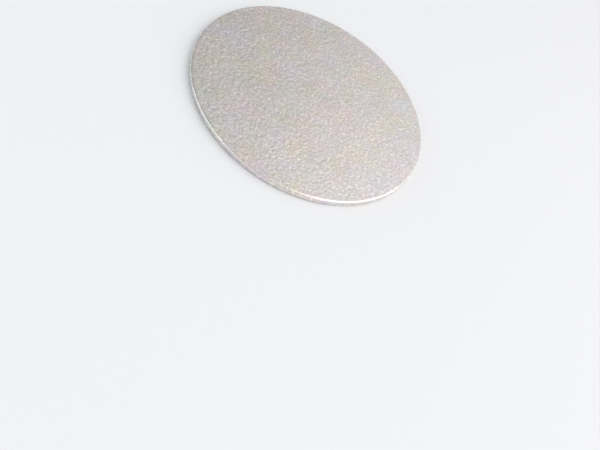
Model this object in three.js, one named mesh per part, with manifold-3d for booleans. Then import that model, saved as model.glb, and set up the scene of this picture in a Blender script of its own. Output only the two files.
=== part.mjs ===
import * as THREE from 'three';
import { mergeVertices, toCreasedNormals } from 'three/addons/utils/BufferGeometryUtils.js';
import Module from 'manifold-3d';

// Cake board: a round of stiff greyboard, wrapped over its face and rim in embossed silver foil.
// The foil is turned in under the board in small pleats, and a paper liner covers their ends.
// Millimetres, +Z up. The origin is the middle of the liner, which is what the board rests on.

// Board
const BOARD_DIAMETER = 127;
const RIM_HEIGHT = 3.2; // from the turned-in foil up to the face
const TOP_EDGE_RADIUS = 1.0;
const BOTTOM_EDGE_RADIUS = 0.8;

// Liner, glued over the middle of the underside
const LINER_MARGIN = 7; // ring of turned-in foil left in sight, from the rim to the liner
const LINER_THICKNESS = 0.12;

// Turned-in foil and its pleats
const TURN_IN_WIDTH = 13; // from the rim to the foil's end under the liner
const PLEAT_COUNT = 45;
const PLEAT_WIDTH = 3.2; // at the foil's end
const PLEAT_THICKNESS = 0.18; // the two layers that a fold adds

// Fineness of the round forms
const ROUND_STEPS = 240;
const EDGE_STEPS = 2; // a rounded edge is twice as many facets

// Colour and finish of the foil
const FOIL_COLOUR = 0xcfc9c4;
const FOIL_ROUGHNESS = 0.38;
const FOIL_METALNESS = 0.9;
const CREASE_ANGLE = THREE.MathUtils.degToRad(30);

// Levels above the surface that the board rests on
const marginLevel = LINER_THICKNESS + PLEAT_THICKNESS;
const faceLevel = marginLevel + RIM_HEIGHT;

// Radii of the features of the underside
const boardRadius = BOARD_DIAMETER / 2;
const linerRadius = boardRadius - LINER_MARGIN;
const turnRadius = boardRadius - BOTTOM_EDGE_RADIUS;
const foilEndRadius = boardRadius - TURN_IN_WIDTH;

const wasm = await Module();
wasm.setup();

// Half section of the board, from the middle of the liner round the rim to the middle of the face.
function boardSection() {
  const section = new THREE.Path();
  const lowerCentre = marginLevel + BOTTOM_EDGE_RADIUS;
  const upperCentre = faceLevel - TOP_EDGE_RADIUS;
  section.moveTo(0, 0);
  section.lineTo(linerRadius, 0);
  section.lineTo(linerRadius, marginLevel);
  section.absarc(turnRadius, lowerCentre, BOTTOM_EDGE_RADIUS, -Math.PI / 2, 0);
  section.absarc(boardRadius - TOP_EDGE_RADIUS, upperCentre, TOP_EDGE_RADIUS, 0, Math.PI / 2);
  section.lineTo(0, faceLevel);
  return section.getPoints(EDGE_STEPS);
}

function boardGeometry() {
  const board = new THREE.LatheGeometry(boardSection(), ROUND_STEPS);
  board.rotateX(Math.PI / 2);
  return board;
}

// One pleat lies flat on the turned-in foil. It starts as a point where the foil turns in,
// one side runs along the board's radius, and it is widest at the foil's end under the liner.
function pleatGeometry(angle) {
  const plan = new THREE.Shape();
  plan.moveTo(turnRadius, 0);
  plan.lineTo(foilEndRadius, PLEAT_WIDTH);
  plan.lineTo(foilEndRadius, 0);
  plan.closePath();
  const rootedHeight = PLEAT_THICKNESS + LINER_THICKNESS; // its upper part is in the board
  const pleat = new THREE.ExtrudeGeometry(plan, { depth: rootedHeight, bevelEnabled: false });
  pleat.translate(0, 0, LINER_THICKNESS);
  pleat.rotateZ(angle);
  return pleat;
}

// A closed mesh as a solid that can be joined.
function toSolid(geometry) {
  const bare = geometry.clone();
  bare.deleteAttribute('normal');
  bare.deleteAttribute('uv');
  const merged = mergeVertices(bare);
  const triVerts = [];
  for (let i = 0; i < merged.index.count; i += 3) {
    const corners = [0, 1, 2].map((k) => merged.index.getX(i + k));
    if (new Set(corners).size === 3) triVerts.push(...corners); // the axis leaves slivers
  }
  const mesh = new wasm.Mesh({
    numProp: 3,
    vertProperties: merged.attributes.position.array,
    triVerts: Uint32Array.from(triVerts),
  });
  return new wasm.Manifold(mesh);
}

function toGeometry(solid) {
  const { vertProperties, triVerts } = solid.getMesh();
  const geometry = new THREE.BufferGeometry();
  geometry.setAttribute('position', new THREE.BufferAttribute(vertProperties, 3));
  geometry.setIndex(new THREE.BufferAttribute(triVerts, 1));
  return toCreasedNormals(geometry, CREASE_ANGLE);
}

function cakeBoard() {
  let solid = toSolid(boardGeometry());
  for (let i = 0; i < PLEAT_COUNT; i += 1) {
    const angle = (i * 2 * Math.PI) / PLEAT_COUNT;
    solid = solid.add(toSolid(pleatGeometry(angle)));
  }
  const foil = new THREE.MeshStandardMaterial({
    color: FOIL_COLOUR,
    roughness: FOIL_ROUGHNESS,
    metalness: FOIL_METALNESS,
  });
  const board = new THREE.Mesh(toGeometry(solid), foil);
  board.name = 'cake_board';
  return board;
}

const part = new THREE.Group();
part.add(cakeBoard());

export default part;
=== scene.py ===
import math
import random

import bpy
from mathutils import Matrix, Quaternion, Vector, noise


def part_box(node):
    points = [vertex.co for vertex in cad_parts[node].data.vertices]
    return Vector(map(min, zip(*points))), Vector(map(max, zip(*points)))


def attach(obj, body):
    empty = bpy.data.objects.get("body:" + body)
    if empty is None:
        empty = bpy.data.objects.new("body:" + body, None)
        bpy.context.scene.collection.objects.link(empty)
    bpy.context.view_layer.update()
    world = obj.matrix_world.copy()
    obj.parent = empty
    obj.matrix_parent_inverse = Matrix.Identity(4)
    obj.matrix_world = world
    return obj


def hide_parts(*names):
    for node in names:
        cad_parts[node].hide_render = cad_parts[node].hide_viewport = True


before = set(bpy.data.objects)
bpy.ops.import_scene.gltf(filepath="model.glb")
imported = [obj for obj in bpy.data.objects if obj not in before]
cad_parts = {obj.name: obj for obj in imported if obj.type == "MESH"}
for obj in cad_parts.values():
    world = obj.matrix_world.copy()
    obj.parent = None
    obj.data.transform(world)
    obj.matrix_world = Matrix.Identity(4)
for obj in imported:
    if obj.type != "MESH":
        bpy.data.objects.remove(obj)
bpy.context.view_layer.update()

# A round cake board: stiff card wrapped in embossed silver foil, turned in under the rim in pleats,
# with a paper liner glued over the pleats' ends. It lies flat on a plain pale floor. Metres.

MM = 0.001
_, BOARD_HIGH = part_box("cake_board")
BOARD_RADIUS = BOARD_HIGH.x
FACE_LEVEL = BOARD_HIGH.z

# Section of the board
RIM_HEIGHT = 3.2 * MM
TOP_EDGE_RADIUS = 1.0 * MM
BOTTOM_EDGE_RADIUS = 0.8 * MM
MARGIN_LEVEL = FACE_LEVEL - RIM_HEIGHT
LINER_RADIUS = BOARD_RADIUS - 7 * MM
LINER_THICKNESS = 0.12 * MM
FOIL_END_RADIUS = BOARD_RADIUS - 13 * MM

# Pleats of the turned-in foil
PLEAT_COUNT = 45
PLEAT_HEIGHT = 0.18 * MM
PLEAT_WIDTH = 3.2 * MM
PLEAT_SIZES = (0.7, 1.25)  # smallest and largest pleat, as shares of the usual one
PLEAT_SLOPE = 1.6  # width of a pleat's slope, in pleat widths
PLEAT_RISE = 2.6  # how much sooner a pleat is full height than full width
NO_WIDTH = 1e-7
FOLD_GAP = 0.07 * MM
FOLD_ROWS = 3  # rows in from the turn, over which the columns move up to the folds
LINER_LAP = 1.0 * MM  # how far the rows of the turned-in foil run on under the liner

# Pressed grain of the foil
GRAIN = 1.25 * MM
GRAIN_DEPTH = 0.165 * MM
RIM_GRAIN = 0.45  # share of the grain's depth left where the foil is drawn over the rim
MARGIN_GRAIN = 0.5  # share of it left on the turned-in foil
RIM_FADE = 2.0 * MM  # width of the ring in which the face's grain fades to the rim's
SEED = 11

# Shares of the grain's depth
PEBBLE_LEVEL = 0.25
PEBBLE_LEAN = 1.1
PEBBLE_DOME = 0.45
PEBBLE_REACH = 0.75  # distance from a pebble's middle at which its dome ends, in grains
LEAN_SPREAD = 5.3  # takes the leans of neighbouring pebbles apart
CRUMPLES = [(0.35, 1.3), (0.1, 0.4)]  # share of the depth, and waves in a grain

# Mesh: rings on the face, and columns round the rim that line up with the pleats
SECTORS = 6
FACE_RINGS = 150
FACE_LOOSENESS = 0.22  # how far a point of the face strays, in steps between the rings
EVEN_RINGS = 3  # rings next to the rim, in which the points fall back into line
COLUMNS = SECTORS * FACE_RINGS
COLUMNS_PER_PLEAT = COLUMNS // PLEAT_COUNT
EDGE_ROWS = 4
WALL_ROWS = 4
MARGIN_ROWS = 12

# Camera: where the photograph's outline of the board puts it
VIEW_ELEVATION = math.radians(39.534)
VIEW_DISTANCE = 253.5 * MM
VIEW_ROLL = math.radians(31.648)
FOCAL_PX = 480.0
FACE_CENTRE_PX = (315.80, 94.963)
FRAME_PX = (600, 450)
SENSOR_MM = 36.0

# Surroundings: tone by direction, from darkest to palest
WORLD_STRENGTH = 1.20
WORLD_SLOPE = Vector((0.80, 0.20, 0.70))
WORLD_STOPS = [
    (0.0, (0.35, 0.35, 0.36)),
    (0.62, (0.35, 0.35, 0.35)),
    (1.0, (0.96, 0.95, 0.94)),
]

# Pale cool band round the horizon, by height
HORIZON_STOPS = [(0.10, (0.73, 0.76, 0.77)), (0.38, (0.0, 0.0, 0.0))]

# Soft square lamps: place, side, watts and colour
LAMPS = {
    "key": ((0.82, -0.08, 0.66), 1.3, 4.7, (1.0, 0.97, 0.95)),
    "window": ((-0.88, -0.55, 0.1), 1.1, 3.8, (0.76, 0.93, 1.0)),
    "fill": ((-0.6, -0.8, 0.6), 1.2, 1.0, (0.90, 0.95, 1.0)),
}

# Floor
FLOOR_HALF = 3.0
FLOOR_COLOUR = (0.89, 0.90, 0.92, 1.0)


def lerp(a, b, t):
    return a + (b - a) * t


def smooth(t):
    t = min(max(t, 0.0), 1.0)
    return t * t * (3.0 - 2.0 * t)


def polar(radius, angle, level):
    return Vector((radius * math.cos(angle), radius * math.sin(angle), level))


# Foil grain

def grain_depth(point):
    """How deep the foil is pressed in at a point: low pebbles about a millimetre across, each
    leaning its own way, with soft grooves between them."""
    at = point / GRAIN
    distances, seeds = noise.voronoi(at)
    lean = noise.cell_vector(seeds[0] * LEAN_SPREAD) - Vector((0.5, 0.5, 0.5))
    tilt = PEBBLE_LEAN * lean.dot(at - seeds[0])
    dome = min(distances[0] / PEBBLE_REACH, 1.0) ** 2
    crumple = sum(share * noise.noise(at * waves) for share, waves in CRUMPLES)
    depth = PEBBLE_LEVEL + tilt + PEBBLE_DOME * dome + crumple
    return GRAIN_DEPTH * min(max(depth, 0.0), 1.0)


# Board body

def face_share(point):
    """How much of the grain's depth the face keeps: all of it, but for the ring by the rim."""
    inward = BOARD_RADIUS - TOP_EDGE_RADIUS - point.xy.length
    return lerp(RIM_GRAIN, 1.0, smooth(inward / RIM_FADE))


def face_rings():
    """Points of the face, ring by ring: ring k has six points for each step out."""
    radius = BOARD_RADIUS - TOP_EDGE_RADIUS
    step = radius / FACE_RINGS
    rng = random.Random(SEED)
    points = [Vector((0.0, 0.0, FACE_LEVEL))]
    for ring in range(1, FACE_RINGS + 1):
        count = SECTORS * ring
        loose = step * FACE_LOOSENESS * smooth((FACE_RINGS - ring) / EVEN_RINGS)
        for k in range(count):
            r = ring * step + rng.uniform(-loose, loose)
            a = 2 * math.pi * k / count + rng.uniform(-loose, loose) / (ring * step)
            points.append(polar(r, a, FACE_LEVEL))
    return points


def face_triangles():
    """Triangles between the face's rings, sector by sector."""
    faces = []

    def index(ring, k):
        if ring == 0:
            return 0
        return 1 + SECTORS // 2 * ring * (ring - 1) + k % (SECTORS * ring)

    for ring in range(1, FACE_RINGS + 1):
        for sector in range(SECTORS):
            for k in range(ring):
                outer = sector * ring + k
                inner = sector * (ring - 1) + k
                near, far = index(ring - 1, inner), index(ring, outer + 1)
                faces.append((near, index(ring, outer), far))
                if k < ring - 1:
                    faces.append((near, far, index(ring - 1, inner + 1)))
    return faces


def rim_section():
    """Rows down the rim: radius, level, and the outward direction in the section's plane."""
    rows = []
    low_centre = MARGIN_LEVEL + BOTTOM_EDGE_RADIUS
    top_centre = FACE_LEVEL - TOP_EDGE_RADIUS
    for k in range(1, EDGE_ROWS + 1):
        a = math.pi / 2 * (1 - k / EDGE_ROWS)
        r = BOARD_RADIUS - TOP_EDGE_RADIUS * (1 - math.cos(a))
        rows.append((r, top_centre + TOP_EDGE_RADIUS * math.sin(a), math.cos(a), math.sin(a)))
    for k in range(1, WALL_ROWS):
        rows.append((BOARD_RADIUS, lerp(top_centre, low_centre, k / WALL_ROWS), 1.0, 0.0))
    for k in range(EDGE_ROWS + 1):
        a = -math.pi / 2 * k / EDGE_ROWS
        r = BOARD_RADIUS - BOTTOM_EDGE_RADIUS * (1 - math.cos(a))
        rows.append((r, low_centre + BOTTOM_EDGE_RADIUS * math.sin(a), math.cos(a), math.sin(a)))
    return rows


def margin_radii():
    """Rows of the turned-in foil, from the turn to just under the liner's edge."""
    turn = BOARD_RADIUS - BOTTOM_EDGE_RADIUS
    inner = LINER_RADIUS - LINER_LAP
    return [lerp(turn, inner, k / MARGIN_ROWS) for k in range(1, MARGIN_ROWS + 1)]


def pleat_column(column, radius, share):
    """Angle of a column on the turned-in foil. The last column before each fold moves up to it."""
    angle = 2 * math.pi * column / COLUMNS
    if column % COLUMNS_PER_PLEAT == COLUMNS_PER_PLEAT - 1:
        step = 2 * math.pi / COLUMNS
        return lerp(angle, angle + step - FOLD_GAP / radius, share)
    return angle


def pleat_height(column, radius, angle, sizes):
    """How far a pleat stands off the turned-in foil: full at its fold, then a slope to nothing."""
    turn = BOARD_RADIUS - BOTTOM_EDGE_RADIUS
    spread = (turn - radius) / (turn - FOIL_END_RADIUS)
    number = column // COLUMNS_PER_PLEAT
    fold = 2 * math.pi * number / PLEAT_COUNT
    size = sizes[number]
    width = PLEAT_WIDTH * size * spread * PLEAT_SLOPE
    away = (angle - fold) * radius
    if width < NO_WIDTH or away > width:
        return 0.0
    full = PLEAT_HEIGHT * min(size, 1.0) * smooth(spread * PLEAT_RISE)
    return full * (1 - away / width)


def board_body():
    """The foil-wrapped board as one closed mesh."""
    rng = random.Random(SEED + 1)
    sizes = [rng.uniform(*PLEAT_SIZES) for _ in range(PLEAT_COUNT)]
    points = [p - Vector((0, 0, face_share(p) * grain_depth(p))) for p in face_rings()]
    faces = face_triangles()
    rows = [list(range(len(points) - COLUMNS, len(points)))]

    for radius, level, out, up in rim_section():
        row = []
        for column in range(COLUMNS):
            angle = 2 * math.pi * column / COLUMNS
            p = polar(radius, angle, level)
            depth = RIM_GRAIN * grain_depth(p)
            row.append(len(points))
            points.append(p - depth * Vector((out * math.cos(angle), out * math.sin(angle), up)))
        rows.append(row)

    for number, radius in enumerate(margin_radii()):
        share = smooth((number + 1) / FOLD_ROWS)
        row = []
        for column in range(COLUMNS):
            angle = pleat_column(column, radius, share)
            height = pleat_height(column, radius, angle, sizes)
            p = polar(radius, angle, MARGIN_LEVEL)
            row.append(len(points))
            points.append(p + Vector((0, 0, MARGIN_GRAIN * grain_depth(p) - height)))
        rows.append(row)

    for above, below in zip(rows, rows[1:]):
        for k in range(COLUMNS):
            n = (k + 1) % COLUMNS
            faces.append((above[k], below[k], below[n], above[n]))
    hub = len(points)
    points.append(Vector((0, 0, MARGIN_LEVEL)))
    last = rows[-1]
    for k in range(COLUMNS):
        faces.append((last[k], hub, last[(k + 1) % COLUMNS]))
    return points, faces


# Liner

LINER_COLUMNS = 450
LINER_ROWS = 30
LINER_ROOT = 0.05 * MM  # how far the liner's upper side reaches into the board at its middle
FOIL_STEP = 2.0 * MM  # width of the paper's slope over the end of the foil
GLUE_WAVE = 9 * MM
DIP_STEEPNESS = 2.4

# Greatest heights of the paper's relief, in millimetres
DIP_LIFT = 0.07
STEP_LIFT = 0.06
WAVE_LIFT = 0.04


def liner_lift(radius, angle):
    """How far the paper lies above the resting surface: it dips between the pleats, follows the
    end of the foil as a low step, and waves a little where the glue has drawn it."""
    number = angle / (2 * math.pi) * PLEAT_COUNT
    along = number - math.floor(number)
    under_foil = smooth((radius - FOIL_END_RADIUS) / FOIL_STEP)
    outward = (radius - FOIL_END_RADIUS) / (LINER_RADIUS - FOIL_END_RADIUS)
    dip = smooth(min(along, 1 - along) * DIP_STEEPNESS) * smooth(outward)
    wave = 0.5 + 0.5 * noise.noise(polar(radius, angle, 0.0) / GLUE_WAVE)
    return (DIP_LIFT * dip + STEP_LIFT * (1 - under_foil) + WAVE_LIFT * wave) * MM


def liner_body():
    """The paper disc: its lower side follows the pleats, and its upper side is glued flat."""
    points = [Vector((0, 0, liner_lift(0.0, 0.0)))]
    rows = []
    for row_number in range(1, LINER_ROWS + 1):
        radius = LINER_RADIUS * math.sqrt(row_number / LINER_ROWS)
        row = []
        for column in range(LINER_COLUMNS):
            angle = 2 * math.pi * column / LINER_COLUMNS
            row.append(len(points))
            points.append(polar(radius, angle, liner_lift(radius, angle)))
        rows.append(row)
    edge = []
    for column in range(LINER_COLUMNS):
        angle = 2 * math.pi * column / LINER_COLUMNS
        edge.append(len(points))
        points.append(polar(LINER_RADIUS, angle, liner_lift(LINER_RADIUS, angle) + LINER_THICKNESS))
    rows.append(edge)
    hub = len(points)
    points.append(Vector((0, 0, MARGIN_LEVEL + LINER_ROOT)))
    faces = []
    for k in range(LINER_COLUMNS):
        n = (k + 1) % LINER_COLUMNS
        faces.append((0, rows[0][n], rows[0][k]))
        faces.append((edge[k], edge[n], hub))
        for inner, outer in zip(rows, rows[1:]):
            faces.append((inner[k], inner[n], outer[n], outer[k]))
    return points, faces


# Materials

def grey(value):
    return (value, value, value)


FOIL_TONES = [(0.3, (0.95, 0.88, 0.85)), (0.7, (0.97, 0.92, 0.91))]
# Painted glints: a speckle that lightens and darkens the foil's colour, in place of light glancing
# off the grain
FOIL_PAINTED_GLINTS = [(0.30, grey(0.73)), (0.52, grey(0.78)), (0.68, grey(1.0))]
FOIL_ROUGHNESS = [(0.0, grey(0.24)), (1.0, grey(0.46))]
CAST_STRENGTH = 0.13
CAST_GAIN = (1.0, 0.55, 1.4)  # strength of the red, green and blue casts
CAST_SHIFT = (0.0, 0.225, -0.2)  # keeps the mean of each cast level
PAPER_TONES = [(0.3, (0.84, 0.83, 0.80)), (0.7, (0.88, 0.87, 0.85))]
PAPER_ROUGHNESS = [(0.3, grey(0.75)), (0.7, grey(0.9))]


def new_material(name):
    material = bpy.data.materials.new(name)
    material.use_nodes = True
    tree = material.node_tree
    return material, tree, tree.nodes["Principled BSDF"]


def add_node(tree, kind, **inputs):
    """A node with its unlinked sockets set by name; underscores in a name stand for spaces."""
    node = tree.nodes.new(kind)
    for name, value in inputs.items():
        node.inputs[name.replace("_", " ")].default_value = value
    return node


def ramp(tree, source, stops):
    node = tree.nodes.new("ShaderNodeValToRGB")
    elements = node.color_ramp.elements
    while len(elements) < len(stops):
        elements.new(0.5)
    for element, (position, colour) in zip(elements, stops):
        element.position = position
        element.color = (*colour, 1.0)
    tree.links.new(source, node.inputs["Fac"])
    return node.outputs["Color"]


def foil_material():
    """Metallised film over card: pale warm silver, each facet of the grain a little different."""
    material, tree, shader = new_material("silver_foil")
    link = tree.links.new
    place = tree.nodes.new("ShaderNodeTexCoord").outputs["Object"]
    shader.inputs["Metallic"].default_value = 1.0
    shader.inputs["Coat Weight"].default_value = 0.15
    shader.inputs["Coat Roughness"].default_value = 0.12

    facets = add_node(tree, "ShaderNodeTexVoronoi", Scale=1.0 / GRAIN)
    tints = add_node(tree, "ShaderNodeTexNoise", Scale=0.11 / GRAIN, Detail=3.0)
    crumple = add_node(tree, "ShaderNodeTexNoise", Scale=1.5 / GRAIN, Detail=2.0)
    haze = add_node(tree, "ShaderNodeTexNoise", Scale=45.0, Detail=2.0)
    speckle = add_node(tree, "ShaderNodeTexNoise", Scale=0.7 / GRAIN, Detail=2.0, Roughness=0.8)
    for node in (facets, tints, crumple, haze, speckle):
        link(place, node.inputs["Vector"])

    # Colour: faint, broad pink, green and blue casts over a warm silver, with fine painted glints:
    # a speckle that lightens and darkens the silver in place of light glancing off the grain
    base = ramp(tree, haze.outputs["Fac"], FOIL_TONES)
    cast = tree.nodes.new("ShaderNodeMix")
    cast.data_type = "RGBA"
    cast.blend_type = "LINEAR_LIGHT"
    cast.inputs["Factor"].default_value = CAST_STRENGTH
    hues = tree.nodes.new("ShaderNodeVectorMath")
    hues.operation = "MULTIPLY_ADD"
    hues.inputs[1].default_value = CAST_GAIN
    hues.inputs[2].default_value = CAST_SHIFT
    link(tints.outputs["Color"], hues.inputs[0])
    link(base, cast.inputs["A"])
    link(hues.outputs["Vector"], cast.inputs["B"])
    fine = tree.nodes.new("ShaderNodeMix")
    fine.data_type = "RGBA"
    fine.blend_type = "MULTIPLY"
    fine.inputs["Factor"].default_value = 1.0
    # Painted glints: the speckle's ramp multiplies the foil's colour
    painted_glint = ramp(tree, speckle.outputs["Fac"], FOIL_PAINTED_GLINTS)
    link(cast.outputs["Result"], fine.inputs["A"])
    link(painted_glint, fine.inputs["B"])
    link(fine.outputs["Result"], shader.inputs["Base Color"])

    # Roughness: some facets mirror more sharply than others
    split = tree.nodes.new("ShaderNodeSeparateColor")
    link(facets.outputs["Color"], split.inputs["Color"])
    rough = ramp(tree, split.outputs["Red"], FOIL_ROUGHNESS)
    link(rough, shader.inputs["Roughness"])

    # Bump: a fine crumple inside each facet
    bump = add_node(tree, "ShaderNodeBump", Strength=0.85, Distance=0.12 * MM)
    link(crumple.outputs["Fac"], bump.inputs["Height"])
    link(bump.outputs["Normal"], shader.inputs["Normal"])
    return material


def paper_material():
    """Matt white liner paper with fibres and a little mottle."""
    material, tree, shader = new_material("liner_paper")
    link = tree.links.new
    place = tree.nodes.new("ShaderNodeTexCoord").outputs["Object"]
    fibres = add_node(tree, "ShaderNodeTexNoise", Scale=2600.0, Detail=4.0)
    mottle = add_node(tree, "ShaderNodeTexNoise", Scale=160.0, Detail=3.0)
    link(place, fibres.inputs["Vector"])
    link(place, mottle.inputs["Vector"])
    colour = ramp(tree, mottle.outputs["Fac"], PAPER_TONES)
    link(colour, shader.inputs["Base Color"])
    rough = ramp(tree, fibres.outputs["Fac"], PAPER_ROUGHNESS)
    link(rough, shader.inputs["Roughness"])
    bump = add_node(tree, "ShaderNodeBump", Strength=0.3, Distance=0.02 * MM)
    link(fibres.outputs["Fac"], bump.inputs["Height"])
    link(bump.outputs["Normal"], shader.inputs["Normal"])
    return material


def floor_material():
    material, _, shader = new_material("pale_floor")
    shader.inputs["Base Color"].default_value = FLOOR_COLOUR
    shader.inputs["Roughness"].default_value = 0.9
    shader.inputs["Specular IOR Level"].default_value = 0.2
    return material


# Scene

def new_piece(name, points, faces, material, slot):
    mesh = bpy.data.meshes.new(name)
    mesh.from_pydata([tuple(p) for p in points], [], faces)
    mesh.shade_smooth()
    mesh.materials.append(material)
    mesh.validate()
    piece = bpy.data.objects.new(name, mesh)
    bpy.context.scene.collection.objects.link(piece)
    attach(piece, "root")
    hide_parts("cake_board")


def add_floor():
    half = FLOOR_HALF
    corners = [(-half, -half, 0), (half, -half, 0), (half, half, 0), (-half, half, 0)]
    mesh = bpy.data.meshes.new("floor")
    mesh.from_pydata(corners, [], [(0, 1, 2, 3)])
    mesh.materials.append(floor_material())
    floor = bpy.data.objects.new("floor", mesh)
    bpy.context.scene.collection.objects.link(floor)


def add_camera():
    """A camera that sees the face's centre at its place in the photograph, turned by the roll."""
    data = bpy.data.cameras.new("camera")
    data.sensor_width = SENSOR_MM
    data.lens = FOCAL_PX * SENSOR_MM / FRAME_PX[0]
    data.clip_start = 0.01
    data.clip_end = 20.0
    camera = bpy.data.objects.new("camera", data)
    bpy.context.scene.collection.objects.link(camera)
    centre = Vector((0, 0, FACE_LEVEL))
    back = Vector((0, -math.cos(VIEW_ELEVATION), math.sin(VIEW_ELEVATION)))
    camera.location = centre + VIEW_DISTANCE * back
    across = (FACE_CENTRE_PX[0] - FRAME_PX[0] / 2) / FOCAL_PX
    upward = (FRAME_PX[1] / 2 - FACE_CENTRE_PX[1]) / FOCAL_PX
    look = (-back).to_track_quat("-Z", "Y")
    roll = Quaternion((0, 0, 1), VIEW_ROLL)
    aside = Vector((across, upward, -1)).rotation_difference(Vector((0, 0, -1)))
    camera.rotation_mode = "QUATERNION"
    camera.rotation_quaternion = look @ roll @ aside
    bpy.context.scene.camera = camera


def add_lamp(name, place, size, power, colour):
    """A soft square lamp aimed at the board."""
    data = bpy.data.lights.new(name, "AREA")
    data.shape = "SQUARE"
    data.size = size
    data.energy = power
    data.color = colour
    lamp = bpy.data.objects.new(name, data)
    bpy.context.scene.collection.objects.link(lamp)
    lamp.location = place
    lamp.rotation_mode = "QUATERNION"
    lamp.rotation_quaternion = (-Vector(place)).to_track_quat("-Z", "Y")


def add_world():
    """Soft studio surroundings: paler to the right, overhead and behind, dark to the left, with
    a pale band round the horizon."""
    world = bpy.data.worlds.new("studio")
    bpy.context.scene.world = world
    world.use_nodes = True
    tree = world.node_tree
    background = tree.nodes["Background"]
    background.inputs["Strength"].default_value = WORLD_STRENGTH
    way = tree.nodes.new("ShaderNodeTexCoord").outputs["Generated"]
    tone = tree.nodes.new("ShaderNodeVectorMath")
    tone.operation = "DOT_PRODUCT"
    tone.inputs[1].default_value = WORLD_SLOPE
    tree.links.new(way, tone.inputs[0])
    level = tree.nodes.new("ShaderNodeMapRange")
    level.inputs["From Min"].default_value = -1.0
    tree.links.new(tone.outputs["Value"], level.inputs["Value"])
    colour = ramp(tree, level.outputs["Result"], WORLD_STOPS)
    parts = tree.nodes.new("ShaderNodeSeparateXYZ")
    tree.links.new(way, parts.inputs["Vector"])
    band = ramp(tree, parts.outputs["Z"], HORIZON_STOPS)
    both = tree.nodes.new("ShaderNodeMix")
    both.data_type = "RGBA"
    both.blend_type = "LIGHTEN"
    both.inputs["Factor"].default_value = 1.0
    tree.links.new(colour, both.inputs["A"])
    tree.links.new(band, both.inputs["B"])
    tree.links.new(both.outputs["Result"], background.inputs["Color"])


def add_lights():
    add_world()
    for name, settings in LAMPS.items():
        add_lamp(name, *settings)


new_piece("cake_board_foil", *board_body(), foil_material(), "silver_foil")
new_piece("cake_board_liner", *liner_body(), paper_material(), "liner_paper")
add_floor()
add_camera()
add_lights()
bpy.context.scene.view_settings.view_transform = "Standard"
